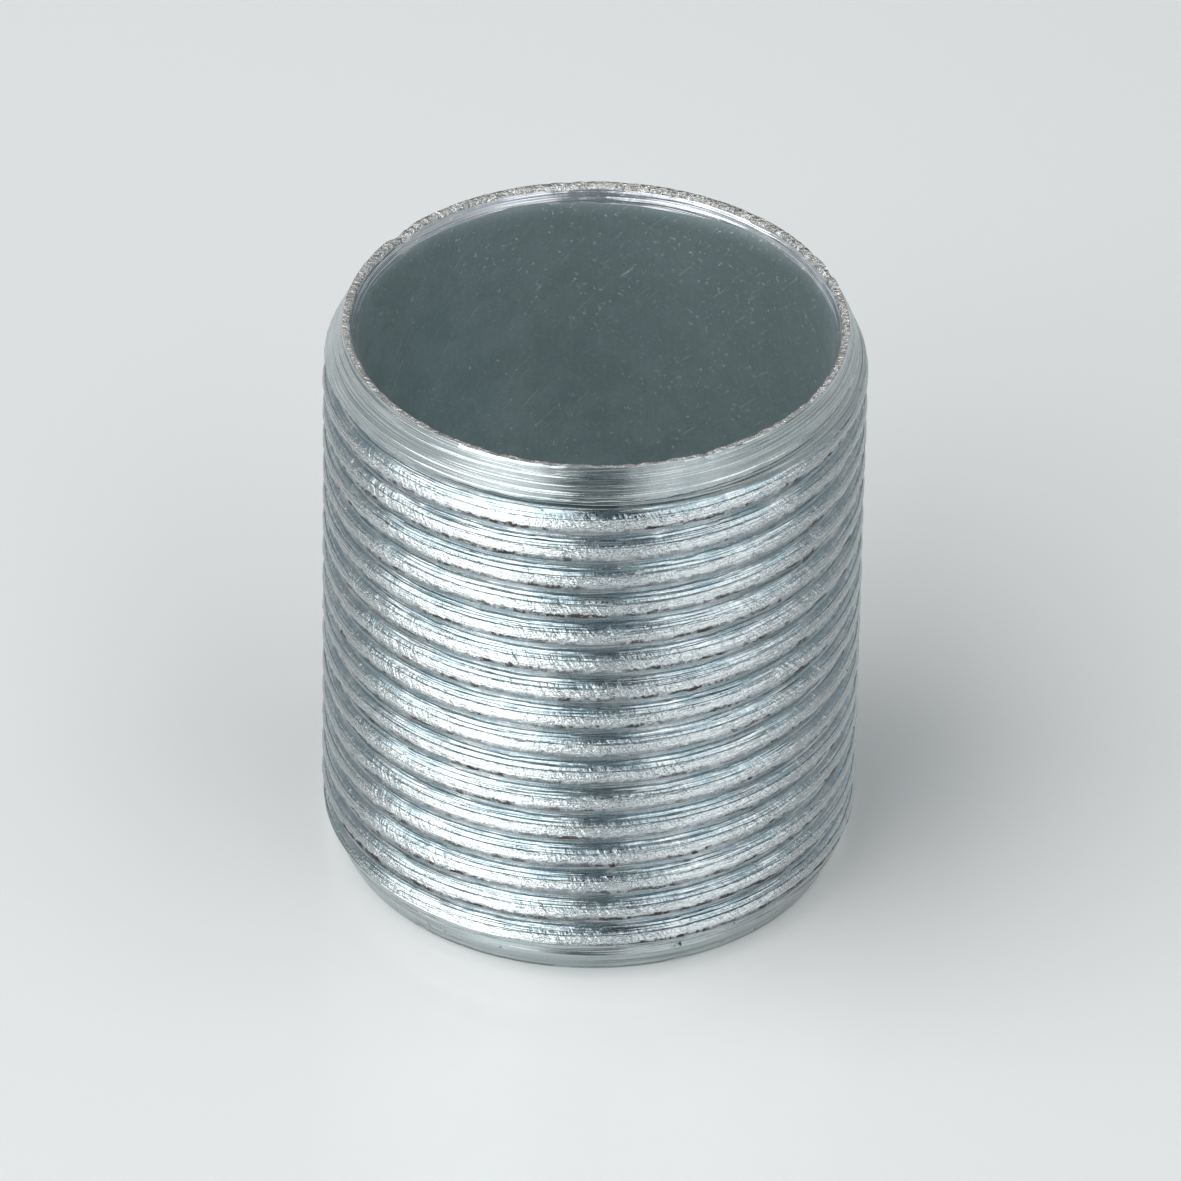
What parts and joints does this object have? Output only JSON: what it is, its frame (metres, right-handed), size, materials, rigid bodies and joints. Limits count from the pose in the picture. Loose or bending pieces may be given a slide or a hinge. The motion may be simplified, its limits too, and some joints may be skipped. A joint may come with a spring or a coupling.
{
  "type": "threaded pipe nipple",
  "caption": "Short zinc-plated steel tube with a straight thread over its whole outside, turned chamfers and a plain through bore.",
  "frame": {"origin": "centre of the lower end face, where the nipple stands", "axes": "+Z along the tube's axis, towards the upper end; the thread is the same from every side apart from its phase"},
  "size_m": [0.0254, 0.0254, 0.0287],
  "materials": {
    "zinc_plated_steel": "bright zinc plate with a pale blue passivation, over turned and die-cut steel"
  },
  "bodies": {
    "root": {"threaded_nipple": "zinc_plated_steel"}
  },
  "joints": []
}
